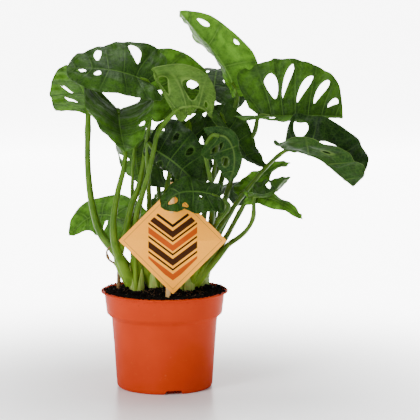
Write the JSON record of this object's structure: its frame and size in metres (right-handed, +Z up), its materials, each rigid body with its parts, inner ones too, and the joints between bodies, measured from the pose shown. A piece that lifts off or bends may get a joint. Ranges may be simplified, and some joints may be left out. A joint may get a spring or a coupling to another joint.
{
  "type": "potted monstera obliqua",
  "caption": "Young climbing foliage plant with large leaves pierced by holes, standing in a round plastic nursery pot of dark soil, with a square card on its corner as a plant label.",
  "frame": {"origin": "on the floor under the middle of the pot", "axes": "+Z up, +X to the plant's right as its label is read, -Y towards the side the label faces"},
  "size_m": [0.2967, 0.2078, 0.3536],
  "materials": {
    "pot_plastic": "satin terracotta orange moulded plastic",
    "soil": "moist dark peat with crumbs",
    "label_card": "coated card, satin",
    "dry_stalk": "dry brown stalk",
    "foliage": "waxy satin leaves, smooth pale stalks"
  },
  "bodies": {
    "root": {"pot": "pot_plastic", "soil": "soil", "label": "label_card", "dry_stub": "dry_stalk", "stem_left": "foliage", "stem_middle": "foliage", "stem_back": "foliage", "stem_right": "foliage", "stem_far_right": "foliage"}
  },
  "joints": []
}
